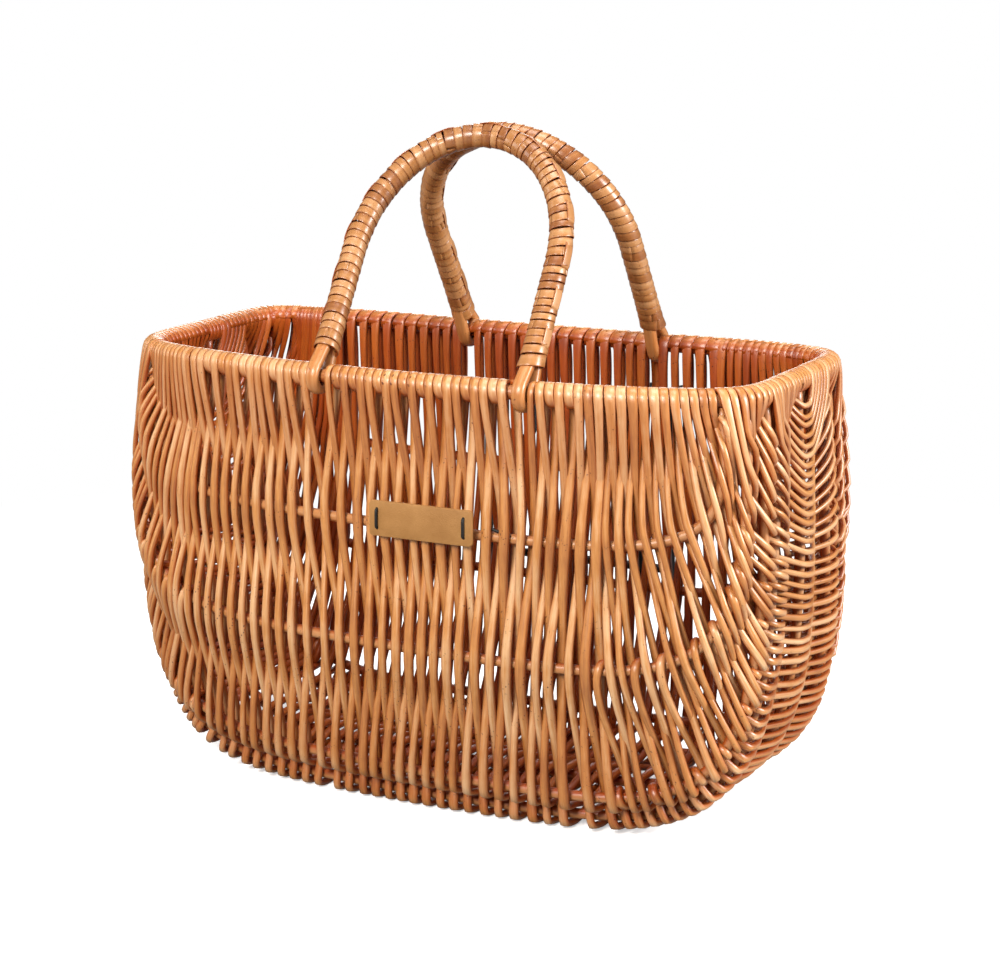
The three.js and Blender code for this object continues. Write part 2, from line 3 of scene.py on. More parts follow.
import bpy
import numpy as np
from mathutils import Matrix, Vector


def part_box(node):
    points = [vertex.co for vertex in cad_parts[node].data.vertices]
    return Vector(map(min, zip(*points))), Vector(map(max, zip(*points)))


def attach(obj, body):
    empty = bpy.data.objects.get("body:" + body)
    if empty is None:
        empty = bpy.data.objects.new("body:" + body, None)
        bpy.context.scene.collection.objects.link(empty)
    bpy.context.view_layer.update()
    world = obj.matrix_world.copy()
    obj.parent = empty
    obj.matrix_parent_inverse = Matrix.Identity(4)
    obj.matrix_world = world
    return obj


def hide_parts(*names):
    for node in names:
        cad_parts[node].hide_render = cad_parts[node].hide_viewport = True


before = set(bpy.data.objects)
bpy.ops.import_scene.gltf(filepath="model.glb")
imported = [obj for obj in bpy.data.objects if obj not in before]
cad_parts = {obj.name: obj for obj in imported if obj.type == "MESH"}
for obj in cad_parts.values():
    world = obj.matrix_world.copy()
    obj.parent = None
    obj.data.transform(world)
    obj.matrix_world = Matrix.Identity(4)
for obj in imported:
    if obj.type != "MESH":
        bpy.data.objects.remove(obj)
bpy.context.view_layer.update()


# The camera stands where the photographer stood: a little above the rim, to the right of the label.
# Lengths are millimetres in the basket's own place, with the rim's middle at x = y = 0, and one
# vector carries them to the frame's origin. The hoop's box gives that vector.
MM = 0.001
RIM_LENGTH = 420
RIM_WIDTH = 176
RIM_HEIGHT = 277
FRONT_BOW = 29
hoop_low, hoop_high = (np.array(corner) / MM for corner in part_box("rim_hoop"))
hoop_radius = (hoop_high[2] - hoop_low[2]) / 2
own_to_frame = np.array([
    (hoop_low[0] + hoop_high[0]) / 2,
    hoop_low[1] + RIM_WIDTH / 2 + FRONT_BOW + hoop_radius,
    (hoop_low[2] + hoop_high[2]) / 2 - RIM_HEIGHT,
])
VIEW_AZIMUTH = math.radians(27.0)
VIEW_ELEVATION = math.radians(12.4)
VIEW_DISTANCE = 1700
VIEW_TARGET = np.array([9.9, 0, 194.5])

bpy.ops.object.select_all(action="DESELECT")
bpy.ops.object.camera_add()
camera = bpy.context.object
camera.name = "photo_camera"
camera.data.sensor_width = 36
camera.data.lens = 95.4
camera.data.clip_end = 50
view_back = np.array([
    math.sin(VIEW_AZIMUTH) * math.cos(VIEW_ELEVATION),
    -math.cos(VIEW_AZIMUTH) * math.cos(VIEW_ELEVATION),
    math.sin(VIEW_ELEVATION),
])
camera.location = (VIEW_TARGET + own_to_frame + view_back * VIEW_DISTANCE) * MM
camera.rotation_euler = Vector(view_back).to_track_quat("Z", "Y").to_euler()
bpy.context.scene.camera = camera


# The studio: a white floor that runs out to a white surround, under a pale sky. One large soft lamp in
# front and one on the right give the rods a round shade, and three weaker ones, on the left, above
# and behind, open up the shadows.
def linear(hex_colour, alpha=1.0):
    channels = [int(hex_colour[i:i + 2], 16) / 255 for i in (1, 3, 5)]
    return [c / 12.92 if c <= 0.04045 else ((c + 0.055) / 1.055) ** 2.4 for c in channels] + [alpha]


def add_node(tree, kind, inputs=None, **settings):
    made = tree.nodes.new(kind)
    for key, value in settings.items():
        setattr(made, key, value)
    for key, value in (inputs or {}).items():
        if isinstance(value, bpy.types.NodeSocket):
            tree.links.new(value, made.inputs[key])
        else:
            made.inputs[key].default_value = value
    return made


def bare_material(name):
    made = bpy.data.materials.new(name)
    made.use_nodes = True
    made.node_tree.nodes.clear()
    return made


bpy.context.scene.view_settings.view_transform = "Standard"
world = bpy.data.worlds.new("studio")
bpy.context.scene.world = world
world.use_nodes = True
sky = world.node_tree
sky.nodes.clear()
ray = add_node(sky, "ShaderNodeLightPath")
soft_sky = add_node(sky, "ShaderNodeBackground", {"Color": linear("#FFFFFF"), "Strength": 0.12})
white_sky = add_node(sky, "ShaderNodeBackground", {"Color": linear("#FFFFFF"), "Strength": 1.0})
sky_mix = add_node(sky, "ShaderNodeMixShader", {
    0: ray.outputs["Is Camera Ray"], 1: soft_sky.outputs[0], 2: white_sky.outputs[0]})
add_node(sky, "ShaderNodeOutputWorld", {"Surface": sky_mix.outputs[0]})

for lamp_name, place, size, watts, shade in (
    ("key_lamp", (0.1, -2.2, 1.5), 0.8, 72, "#FFF9F2"),
    ("right_lamp", (2.6, 0.3, 1.1), 0.8, 97, "#FFFFFF"),
    ("left_lamp", (-2.2, -1.2, 1.1), 1.0, 14, "#FFFFFF"),
    ("top_lamp", (0.1, 0.0, 2.1), 1.1, 19, "#FFFFFF"),
    ("back_lamp", (-1.2, 2.2, 0.8), 1.0, 13, "#FFFFFF"),
):
    bpy.ops.object.light_add(type="AREA", location=place)
    lamp = bpy.context.object
    lamp.name = lamp_name
    lamp.data.size = size
    lamp.data.energy = watts
    lamp.data.color = linear(shade)[:3]
    lamp.rotation_euler = (Vector(place) - Vector((0, 0, 0.2))).to_track_quat("Z", "Y").to_euler()

# The camera sees a floor that keeps the basket's shadow and fades to plain white. The light that the
# floor throws back at the basket is kept lower, so that the base stays dark.
bpy.ops.mesh.primitive_plane_add(size=12)
floor = bpy.context.object
floor.name = "studio_floor"
floor_paint = bare_material("white_studio_floor")
paint = floor_paint.node_tree
floor_ray = add_node(paint, "ShaderNodeLightPath")
floor_matt = add_node(paint, "ShaderNodeBsdfDiffuse", {"Color": linear("#F7F7F7")})
floor_dim = add_node(paint, "ShaderNodeBsdfDiffuse", {"Color": linear("#8A8A8A")})
floor_glow = add_node(paint, "ShaderNodeEmission", {"Color": linear("#FFFFFF"), "Strength": 0.5})
floor_near = add_node(paint, "ShaderNodeAddShader", {
    0: floor_matt.outputs[0], 1: floor_glow.outputs[0]})
floor_far = add_node(paint, "ShaderNodeEmission", {"Color": linear("#FFFFFF"), "Strength": 1.0})
floor_place = add_node(paint, "ShaderNodeTexCoord")
floor_reach = add_node(paint, "ShaderNodeVectorMath", {0: floor_place.outputs["Object"]},
                       operation="LENGTH")
floor_fade = add_node(paint, "ShaderNodeMapRange", {
    "Value": floor_reach.outputs["Value"], "From Min": 0.35, "From Max": 0.9})
floor_seen = add_node(paint, "ShaderNodeMixShader", {
    0: floor_fade.outputs[0], 1: floor_near.outputs[0], 2: floor_far.outputs[0]})
floor_mix = add_node(paint, "ShaderNodeMixShader", {
    0: floor_ray.outputs["Is Camera Ray"], 1: floor_dim.outputs[0], 2: floor_seen.outputs[0]})
add_node(paint, "ShaderNodeOutputMaterial", {"Surface": floor_mix.outputs[0]})
floor.data.materials.append(floor_paint)


# The rim hoop is one thick willow rod bent to a rounded rectangle, its ends scarfed together. The
# wraps of the weave hide nearly all of it. A willow rod is made here as rings of points along a path.
BACK_BOW = -6
RIM_SQUARENESS = 7.4
HOOP_RADIUS = 4.4
RIM_STEPS = 720
HOOP_STRIDE = 6
HEART_REACH = 120
HEART_HEIGHT = 150


class Track:
    """A line through points, measured along its length."""

    def __init__(self, points):
        self.points = np.asarray(points, float)
        steps = np.linalg.norm(np.diff(self.points, axis=0), axis=1)
        self.lengths = np.concatenate([[0], np.cumsum(steps)])
        self.length = self.lengths[-1]

    def at(self, distance):
        return np.array([np.interp(distance, self.lengths, self.points[:, k]) for k in range(3)])

    def along(self, distance):
        step = self.at(min(distance + 0.5, self.length)) - self.at(max(distance - 0.5, 0))
        return step / np.linalg.norm(step)

    def where_x(self, x):
        """The distance at which a track that runs from +X to -X passes x."""
        i = int(np.argmax(self.points[:, 0] <= x))
        (xa, xb), (la, lb) = self.points[i - 1:i + 1, 0], self.lengths[i - 1:i + 1]
        return la + (xa - x) / (xa - xb) * (lb - la)


def rim_point(angle):
    c, s = math.cos(angle), math.sin(angle)
    reach = abs(2 * c / RIM_LENGTH) ** RIM_SQUARENESS + abs(2 * s / RIM_WIDTH) ** RIM_SQUARENESS
    radius = reach ** (-1 / RIM_SQUARENESS)
    x = radius * c
    bow = (-FRONT_BOW if s < 0 else BACK_BOW) * (1 - (2 * x / RIM_LENGTH) ** 2)
    return (x, radius * s + bow, RIM_HEIGHT)


rim_front = Track([rim_point(-angle) for angle in np.linspace(0, math.pi, RIM_STEPS + 1)])
rim_back = Track([rim_point(angle) for angle in np.linspace(0, math.pi, RIM_STEPS + 1)])


def unit(vectors):
    return vectors / np.linalg.norm(vectors, axis=-1, keepdims=True)


def away_from_basket(points):
    """The direction out of the basket at each point."""
    heart = np.zeros_like(points)
    heart[:, 0] = np.clip(points[:, 0], -HEART_REACH, HEART_REACH)
    heart[:, 2] = HEART_HEIGHT
    return unit(points - heart)


def lay_rods(name, rods, finish, body, sides=8, closed=False, outward="basket"):
    """Makes one piece from rods, each given as its path, the way its broad face looks, its half
    thickness both ways, its tone from 0, dark, to 1, pale, and the power of its section, 1 for round
    and less for square. The attribute for painted shade is 1 on the side turned away from outward:
    into the basket, or, for facing, on the underside of a strip; the finish paints a darker, redder
    brown there for the shade that falls on it. For none it is 0 all over."""
    vertices, faces, maps, tones, painted_shade_values = [], [], [], [], []
    around = np.linspace(0, 2 * math.pi, sides, endpoint=False)
    start = 0
    for path, facing, thick, wide, tone, power in rods:
        path = np.asarray(path, float)
        count = len(path)
        power = np.broadcast_to(power, count)[:, None]
        over, beside = (np.sign(wave) * np.abs(wave) ** power
                        for wave in (np.cos(around), np.sin(around)))
        if closed:
            along = unit(np.roll(path, -1, axis=0) - np.roll(path, 1, axis=0))
        else:
            along = unit(np.gradient(path, axis=0))
        out = unit(facing - along * np.sum(facing * along, axis=1, keepdims=True))
        turns = np.sign(np.sum(out[1:] * out[:-1], axis=1))
        out[1:] *= np.cumprod(np.where(turns == 0, 1, turns))[:, None]
        side = np.cross(along, out)
        thick = np.broadcast_to(thick, count)[:, None, None]
        wide = np.broadcast_to(wide, count)[:, None, None]
        rings = (path[:, None] + out[:, None] * thick * over[:, :, None]
                 + side[:, None] * wide * beside[:, :, None])
        vertices.append(rings.reshape(-1, 3))
        if outward == "none":
            painted_shade_values.append(np.zeros(count * sides))
        else:
            looks = (out[:, None] * np.cos(around)[None, :, None]
                     + side[:, None] * np.sin(around)[None, :, None])
            away = away_from_basket(path) if outward == "basket" else unit(np.asarray(facing, float))
            painted_shade_values.append((0.5 - 0.5 * np.sum(looks * away[:, None], axis=2)).ravel())
        lengths = np.concatenate([[0], np.cumsum(np.linalg.norm(np.diff(path, axis=0), axis=1))])
        tones.append(np.repeat(np.broadcast_to(tone, count), sides))
        spans = count if closed else count - 1
        for i in range(spans):
            low, high = start + i * sides, start + (i + 1) % count * sides
            near = lengths[i] * MM
            far = (lengths[i + 1] if i + 1 < count else lengths[i] + 1) * MM
            for j in range(sides):
                k = (j + 1) % sides
                faces.append((low + j, low + k, high + k, high + j))
                maps += [(j / sides, near), ((j + 1) / sides, near),
                         ((j + 1) / sides, far), (j / sides, far)]
        if not closed:
            end = start + (count - 1) * sides
            faces.append(tuple(start + j for j in reversed(range(sides))))
            faces.append(tuple(end + j for j in range(sides)))
            maps += [(0.5, 0.0)] * sides + [(0.5, lengths[-1] * MM)] * sides
        start += count * sides
    mesh = bpy.data.meshes.new(name)
    mesh.from_pydata(((np.concatenate(vertices) + own_to_frame) * MM).tolist(), [], faces)
    layer = mesh.uv_layers.new(name="grain")
    layer.data.foreach_set("uv", np.array(maps, "f").ravel())
    for kind, values in (("tone", tones), ("painted_shade", painted_shade_values)):
        layer = mesh.attributes.new(kind, "FLOAT", "POINT")
        layer.data.foreach_set("value", np.concatenate(values).astype("f"))
    mesh.materials.append(finish)
    mesh.shade_smooth()
    piece = bpy.data.objects.new(name, mesh)
    bpy.context.scene.collection.objects.link(piece)
    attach(piece, body)
    return piece


# Buff willow, boiled in its bark and then peeled, is a warm tan wood with a natural waxy skin: soft
# streaks run along the rod, scattered dark specks mark old buds, and each rod has its own tone.
# A darker, redder brown that the finish multiplies in on the rods' shaded side: painted shade.
PAINTED_SHADE_BROWN = "#CE873C"
STREAK_DEPTH = 0.7
CLOUD_DEPTH = 0.45


def willow_finish(name, dark, middle, pale, speck="#5C220C", roughness=0.4, specks=1.0):
    material = bare_material(name)
    tree = material.node_tree
    grain = add_node(tree, "ShaderNodeUVMap", uv_map="grain")
    tone = add_node(tree, "ShaderNodeAttribute", attribute_name="tone")
    # Streaks about 1 mm wide and 30 mm long on a rod 17 mm round.
    streak_map = add_node(tree, "ShaderNodeMapping", {"Vector": grain.outputs[0], "Scale": (13, 36, 1)})
    streak = add_node(tree, "ShaderNodeTexNoise", {
        "Vector": streak_map.outputs[0], "Scale": 1.0, "Detail": 4.0, "Roughness": 0.6})
    place = add_node(tree, "ShaderNodeTexCoord")
    blotch = add_node(tree, "ShaderNodeTexNoise", {
        "Vector": place.outputs["Object"], "Scale": 38.0, "Detail": 3.0, "Roughness": 0.6})
    shade = add_node(tree, "ShaderNodeMath", {0: streak.outputs["Fac"], 1: 0.5}, operation="SUBTRACT")
    shade = add_node(tree, "ShaderNodeMath", {
        0: shade.outputs[0], 1: STREAK_DEPTH, 2: tone.outputs["Fac"]}, operation="MULTIPLY_ADD")
    patch = add_node(tree, "ShaderNodeMath", {0: blotch.outputs["Fac"], 1: 0.5}, operation="SUBTRACT")
    shade = add_node(tree, "ShaderNodeMath", {
        0: patch.outputs[0], 1: CLOUD_DEPTH, 2: shade.outputs[0]}, operation="MULTIPLY_ADD")
    ramp = add_node(tree, "ShaderNodeValToRGB", {"Fac": shade.outputs[0]})
    ramp.color_ramp.elements[0].position = 0.05
    ramp.color_ramp.elements[0].color = linear(dark)
    ramp.color_ramp.elements[1].position = 0.95
    ramp.color_ramp.elements[1].color = linear(pale)
    ramp.color_ramp.elements.new(0.5).color = linear(middle)
    # Specks are about 1 mm across, in loose groups.
    speck_map = add_node(tree, "ShaderNodeMapping", {"Vector": grain.outputs[0], "Scale": (10, 430, 1)})
    dots = add_node(tree, "ShaderNodeTexNoise", {
        "Vector": speck_map.outputs[0], "Scale": 1.0, "Detail": 1.0})
    groups = add_node(tree, "ShaderNodeTexNoise", {
        "Vector": place.outputs["Object"], "Scale": 60.0, "Detail": 1.0})
    dot_cut = add_node(tree, "ShaderNodeMapRange", {
        "Value": dots.outputs["Fac"], "From Min": 0.65, "From Max": 0.72})
    group_cut = add_node(tree, "ShaderNodeMapRange", {
        "Value": groups.outputs["Fac"], "From Min": 0.52, "From Max": 0.62})
    marks = add_node(tree, "ShaderNodeMath", {0: dot_cut.outputs[0], 1: group_cut.outputs[0]},
                     operation="MULTIPLY")
    marks = add_node(tree, "ShaderNodeMath", {0: marks.outputs[0], 1: 0.9 * specks},
                     operation="MULTIPLY")
    colour = add_node(tree, "ShaderNodeMix", {
        "Factor": marks.outputs[0], "A": ramp.outputs["Color"], "B": linear(speck)}, data_type="RGBA")
    # Painted shade: the side of a rod turned into the basket, and the underside of a strip, are painted
    # a darker, redder brown for the shade that falls there.
    painted_shade = add_node(tree, "ShaderNodeAttribute", attribute_name="painted_shade")
    inner = add_node(tree, "ShaderNodeMapRange", {
        "Value": painted_shade.outputs["Fac"], "From Min": 0.04, "From Max": 0.56})
    colour = add_node(tree, "ShaderNodeMix", {
        "Factor": inner.outputs[0], "A": colour.outputs["Result"], "B": linear(PAINTED_SHADE_BROWN)},
        data_type="RGBA", blend_type="MULTIPLY")
    rough = add_node(tree, "ShaderNodeMapRange", {
        "Value": streak.outputs["Fac"], "To Min": roughness - 0.08, "To Max": roughness + 0.1})
    bump = add_node(tree, "ShaderNodeBump", {
        "Height": streak.outputs["Fac"], "Strength": 0.35, "Distance": 0.0004})
    skin = add_node(tree, "ShaderNodeBsdfPrincipled", {
        "Base Color": colour.outputs["Result"], "Roughness": rough.outputs[0],
        "Normal": bump.outputs[0], "IOR": 1.5})
    skin.inputs["Coat Weight"].default_value = 0.7
    skin.inputs["Coat Roughness"].default_value = 0.34
    add_node(tree, "ShaderNodeOutputMaterial", {"Surface": skin.outputs[0]})
    return material


rib_willow = willow_finish("peeled_willow_rib", "#8A3E14", "#C2824A", "#DDB284")
hoop_path = np.concatenate([rim_front.points[:-1:HOOP_STRIDE], rim_back.points[:0:-HOOP_STRIDE]])
hoop = lay_rods(
    "willow_hoop",
    [(hoop_path, np.tile([0.0, 0, 1], (len(hoop_path), 1)), HOOP_RADIUS, HOOP_RADIUS, 0.4, 1)],
    rib_willow, "basket", sides=12, closed=True)
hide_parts("rim_hoop")


# The ribs are nine straight-grown willow rods, bent to long square-cornered U shapes and tucked up
# under the rim at both ends of the basket. Every woven rod passes over and under them.
RIB_RADIUS = 3.3
RIB_SQUARENESS = 6
RIB_SWELL = 5
RIB_RINGS = 110
# Name, wall, -1 for the front and 1 for the back, how far the rib stands out at the basket's ends and
# how much further at mid length, its lowest height, where along the rim its end sits, and how far it
# drops towards the right.
RIBS = (
    ("rib_front_upper", -1, 91.5, 21, 188.5, 87, 2.5),
    ("rib_front_middle", -1, 92.5, 20, 112, 70, 3),
    ("rib_front_lower", -1, 75, 18, 27, 50, 4),
    ("rib_base_front", -1, 62, 20, 9.5, 33, 0),
    ("rib_base_centre", -1, 0, 12, 9.5, 0, 0),
    ("rib_base_back", 1, 62, -4, 9.5, 33, 0),
    ("rib_back_lower", 1, 76, -5, 27, 50, 0),
    ("rib_back_middle", 1, 92.5, -6, 112, 64, 0),
    ("rib_back_upper", 1, 91.5, -6, 188.5, 90, 0),
)


def rib_track(face, reach_out, bow, low, seat, droop):
    seat_x, seat_y, _ = (rim_back if face > 0 else rim_front).at(seat)
    depth = RIM_HEIGHT - low
    points = []
    for angle in np.linspace(0.02, math.pi - 0.02, 361):
        c, s = math.cos(angle), math.sin(angle)
        reach = abs(c / seat_x) ** RIB_SQUARENESS + abs(s / depth) ** RIB_SQUARENESS
        radius = reach ** (-1 / RIB_SQUARENESS)
        rise = 1 - radius * s / depth
        x = radius * c * (1 + RIB_SWELL * 4 * rise * (1 - rise) / seat_x)
        middle = face * (reach_out + bow * (1 - (2 * x / RIM_LENGTH) ** 2))
        y = middle * (1 - rise) + seat_y * rise
        points.append((x, y, RIM_HEIGHT - radius * s - droop * (1 - rise) * 2 * x / RIM_LENGTH))
    return Track(points)


rib_tracks = []
for name, face, reach_out, bow, low, seat, droop in RIBS:
    track = rib_track(face, reach_out, bow, low, seat, droop)
    rib_tracks.append(track)
    path = np.array([track.at(d) for d in np.linspace(0, track.length, RIB_RINGS)])
    piece = lay_rods(
        name.replace("rib", "willow_rib"),
        [(path, np.tile([0.0, 1, 0], (len(path), 1)), RIB_RADIUS, RIB_RADIUS, 0.55, 1)],
        rib_willow, "basket", sides=12)
    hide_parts(name)


# The weave is some 240 passes of a willow rod. Full rows run from rim to rim under the basket and go
# over and under every rib; the rod turns round the hoop at both ends. In the corners short rows
# fill the fan between full rows and turn back round the middle or the lower ribs.
ROD_WIDE = 3.0
WIDER_TO_THE_RIGHT = ((-155, -60, 60, 150), (0.9, 0.98, 1.06, 1.1))
ROD_THICK = 2.15
HOOP_TURN = HOOP_RADIUS + ROD_THICK
# The handles' hooks stand in slots of the weave at these places along the rim.
HOOK_SLOTS = (83, -55)
SLOT_REACH = 6.6
SLOT_SPREAD = 3.4
SLOT_EASE = 24
# Rods are thinner at the ends. The rows of an end start near its middle and reach the rim up to the
# corner, where the fan starts. The fan ends where the straight rows of the long walls begin.
END_SCALE = 0.66
END_ROWS = 32
END_FIRST = 9.5
END_LAST = 86
FAN_START = 89
FAN_END_X = 128
FAN_SCALE = 0.92
FAN_BUNCHING = 0.68
# In the fan, rows of kind 0 are full, kind 1 turns back round the middle ribs, kind 2 round the lower.
FAN_KINDS = (0, 0, 1, 1, 0, 0, 2, 2, 0, 0, 1, 1, 2, 2) * 4
FAN_ROWS = len(FAN_KINDS)
LEFT_END_X = -155
END_WRAPS_REACH = 8.4
END_WRAPS = 4
MIDDLE_PITCHES = ((150, 3.7), (128, 4.2), (90, 4.5), (40, 4.9), (-60, 4.9), (-100, 4.3), (-155, 3.7))
SHORTEST_LEG = 10.5
# A rod lies flat over a rib for this length to both sides and is slimmer in the middle of long spans.
FLAT_HALF = 5
LONG_SPAN = 50
SLIMMER = 0.16
BACK_SLIMMER = 0.12
# Turns round the rim: their pitch, how thin they may get, and how far round the hoop a rod's hidden
# start and end reach.
WRAP_PITCH = 5.8
THINNEST_WRAP = 1.35
WRAP_GAP = 0.12
WRAP_BROADER = 1.4
COIL_STEP = 0.42
START_SWEEP = 1.3
END_SWEEP = math.pi + 0.1
# Rods that leave the back rim are pressed broader there and stand a little towards +X.
BACK_BROADER = 1.3
BACK_SHIFT = 1.5
# Rods that leave the front rim start behind the ones that arrive, and lean away from them lower down.
LEAVE_SHIFT = 2.8
# How far from each rib's middle line the rods that pass it begin, closest near the rim.
RIB_RADII = (3.1, 3.4, 3.8, 4.0, 4.0, 4.0, 3.8, 3.4, 3.1)
# Along each rib, how far below the rim the first row of the fan crosses it.
FAN_TOP = (3, 64, 85, 92, 107, 108, 100, 80, 8)
# How far rows have drifted sideways at each rib, for rows that leave the rim at these places.
DRIFT_X = (-155, -60, 0, 104, 150)
DRIFT = (
    (-2, 1, 1, -2, 3), (-6, 4, 2, -8, 8), (-15, -7, -12, -13, 18),
    (-20, -9, -13, -12, 26), (-26, -10, -12, -8, 33), (-24, -8, -9, -5, 28),
    (-16, -5, -6, -3, 18), (-6, 0, -2, -2, 8), (-2, 0, 0, 0, 3),
)
chance = np.random.default_rng(20)
last_rib = len(rib_tracks) - 1


def spaced(start, end):
    """Places from start down to end whose spacing follows the pitch given along x."""
    xs = np.linspace(start, end, 800)
    density = 1 / np.interp(-xs, [-x for x, _ in MIDDLE_PITCHES], [pitch for _, pitch in MIDDLE_PITCHES])
    counted = np.concatenate([[0], np.cumsum(density[1:] * -np.diff(xs))])
    count = max(2, int(round(counted[-1])))
    return np.interp(np.linspace(0, counted[-1], count + 1), counted, xs)


def even_out(places):
    """The places of rows on the ribs below the rim, evened out between every eighth row."""
    kept = np.unique(np.concatenate([np.arange(0, len(places), 8), [len(places) - 1]]))
    return np.interp(np.arange(len(places)), kept, places[kept])


def on_the_rim(places, arrival):
    """Where rows meet the rim. All turns round it are as wide, and a rod takes one turn or two
    before it leaves again, so rods that arrive, every second from arrival on, are unevenly far apart."""
    found = places.copy()
    spare = 0
    for i in range(arrival, len(places) - 2, 2):
        spare += places[i] - places[i + 2]
        turns = 2 if spare + chance.normal(0, 0.3 * WRAP_PITCH) > 1.5 * WRAP_PITCH else 1
        spare -= turns * WRAP_PITCH
        found[i + 1] = found[i] - (turns - 0.5) * WRAP_PITCH
        found[i + 2] = places[i + 2] + spare
    return found


def middle_rows():
    """The rows of the long walls, from the fan on the right to the one on the left."""
    edges = (FAN_END_X, HOOK_SLOTS[0] + SLOT_REACH, HOOK_SLOTS[0] - SLOT_REACH,
             HOOK_SLOTS[1] + SLOT_REACH, HOOK_SLOTS[1] - SLOT_REACH, LEFT_END_X)
    parts = [spaced(edges[i], edges[i + 1]) for i in (0, 2, 4)]
    if sum(len(part) for part in parts) % 2:
        parts[1] = np.delete(parts[1], len(parts[1]) // 2)
    front = np.concatenate(parts)
    smooth = even_out(front)
    first = 0
    for part in parts:
        front[first:first + len(part)] = on_the_rim(part, 1 - first % 2)
        first += len(part)
    back = np.linspace(FAN_END_X, LEFT_END_X, len(front))
    for slot in HOOK_SLOTS:
        near = np.clip(1 - np.abs(back - slot) / SLOT_EASE, 0, 1)
        back = back + np.sign(back - slot) * SLOT_SPREAD * near
    back[1::2] += BACK_SHIFT
    rows = []
    for i, x in enumerate(front):
        crossings = []
        for k, track in enumerate(rib_tracks):
            share = k / last_rib
            here = smooth[i] * (1 - share) + back[i] * share + np.interp(x, DRIFT_X, DRIFT[k])
            crossings.append(track.where_x(here))
        rows.append({
            "front": rim_front.where_x(x), "back": rim_back.where_x(back[i]), "places": crossings,
            "crossings": crossings, "scale": np.interp(x, *WIDER_TO_THE_RIGHT), "ribs": (0, last_rib)})
    return rows


def fan_share(j, level):
    """How far row j is through the rows of the fan that reach a rib level ribs away from the rim."""
    reaching = [kind <= level for kind in FAN_KINDS]
    return (sum(reaching[:j]) + 0.5) / sum(reaching)


def corner_rows(side, middle_row):
    """The rows of one end from its middle to the corner: full rows, then the fan."""
    lengths = [track.length for track in rib_tracks]
    fan_end = [d if side > 0 else length - d for d, length in zip(middle_row["crossings"], lengths)]
    rim_end = {key: middle_row[key] if side > 0 else track.length - middle_row[key]
               for key, track in (("front", rim_front), ("back", rim_back))}
    rows = []
    for place in np.linspace(END_FIRST, END_LAST, END_ROWS):
        crossings = [top * (place - seat) / (FAN_START - seat) if place > seat else 0
                     for top, (*_, seat, _) in zip(FAN_TOP, RIBS)]
        rows.append((place, place, crossings, END_SCALE, (0, last_rib)))
    for j, kind in enumerate(FAN_KINDS):
        crossings = []
        for k, (top, end) in enumerate(zip(FAN_TOP, fan_end)):
            share = fan_share(j, min(k, last_rib - k))
            share = share ** FAN_BUNCHING if k in (0, last_rib) else share
            crossings.append(top + (end - top) * share)
        share = fan_share(j, 0)
        front, back = (FAN_START + (rim_end[key] - FAN_START) * share * (0.8 + 0.2 * share)
                       for key in ("front", "back"))
        scale = END_SCALE + (FAN_SCALE - END_SCALE) * share
        rows.append((front, back, crossings, scale, (kind, last_rib - kind)))
    found = []
    for front, back, crossings, scale, ribs in rows:
        if side < 0:
            front, back = rim_front.length - front, rim_back.length - back
        places = [d if side > 0 else length - d for d, length in zip(crossings, lengths)]
        crossings = [None if d < SHORTEST_LEG else place for d, place in zip(crossings, places)]
        found.append({"front": front, "back": back, "crossings": crossings, "places": places,
                      "scale": scale, "ribs": ribs})
    return found if side > 0 else found[::-1]


SLOTS_AT = {
    key: [track.where_x(x) for x in HOOK_SLOTS]
    for key, track in (("front", rim_front), ("back", rim_back))
}
middle = middle_rows()
rows = corner_rows(1, middle[0]) + middle + corner_rows(-1, middle[-1])
for n, row in enumerate(rows):
    if n % 2 == 0 and END_ROWS < n < len(rows) - END_ROWS:
        row["front"] = max([row["front"] - LEAVE_SHIFT] + [
            slot + SLOT_REACH for slot in SLOTS_AT["front"] if slot < row["front"]])
    row["width"] = ROD_WIDE * row["scale"] * chance.uniform(0.86, 1.14)
    row["tone"] = chance.uniform(0.4, 0.7)
    row["jitter"] = chance.normal(0, 0.42, len(rib_tracks))
    row["front"] += chance.normal(0, 0.15)
    row["back"] += chance.normal(0, 0.15)
full_rows = [n for n, row in enumerate(rows) if row["ribs"][0] == 0]


def smooth_line(points, *carried, step=4.5, slack=0.62):
    """A soft line through points: long spans stay nearly straight, so the bends sit at the ribs. It
    comes with how slim the rod is along it, from 0 to 1, and with the carried values in between."""
    points = np.asarray(points, float)
    gaps = np.maximum(np.linalg.norm(np.diff(points, axis=0), axis=1), 1e-3)
    slopes = np.diff(points, axis=0) / gaps[:, None]
    turn = np.empty_like(points)
    turn[0], turn[-1] = slopes[0], slopes[-1]
    weight = gaps[:, None]
    turn[1:-1] = (slopes[:-1] * weight[1:] + slopes[1:] * weight[:-1]) / (weight[:-1] + weight[1:])
    line, places, slim = [], [], []
    for i, gap in enumerate(gaps):
        count = max(1, int(round(gap / step)))
        s = np.arange(count)[:, None] / count
        pull = gap * (1 if gap < 10 else slack)
        line.append((2 * s ** 3 - 3 * s ** 2 + 1) * points[i] + (s ** 3 - 2 * s ** 2 + s) * pull * turn[i]
                    + (3 * s ** 2 - 2 * s ** 3) * points[i + 1] + (s ** 3 - s ** 2) * pull * turn[i + 1])
        places.append(i + s[:, 0])
        slim.append(4 * s[:, 0] * (1 - s[:, 0]) * min(1, gap / LONG_SPAN) ** 2)
    line.append(points[-1:])
    places = np.concatenate(places + [[len(points) - 1]])
    index = np.arange(len(points))
    extra = []
    for values in carried:
        values = np.asarray(values, float)
        columns = values.reshape(len(points), -1)
        found = np.stack([np.interp(places, index, column) for column in columns.T], axis=1)
        extra.append(found if values.ndim > 1 else found[:, 0])
    return (np.concatenate(line), np.concatenate(slim + [[0]]), *extra)


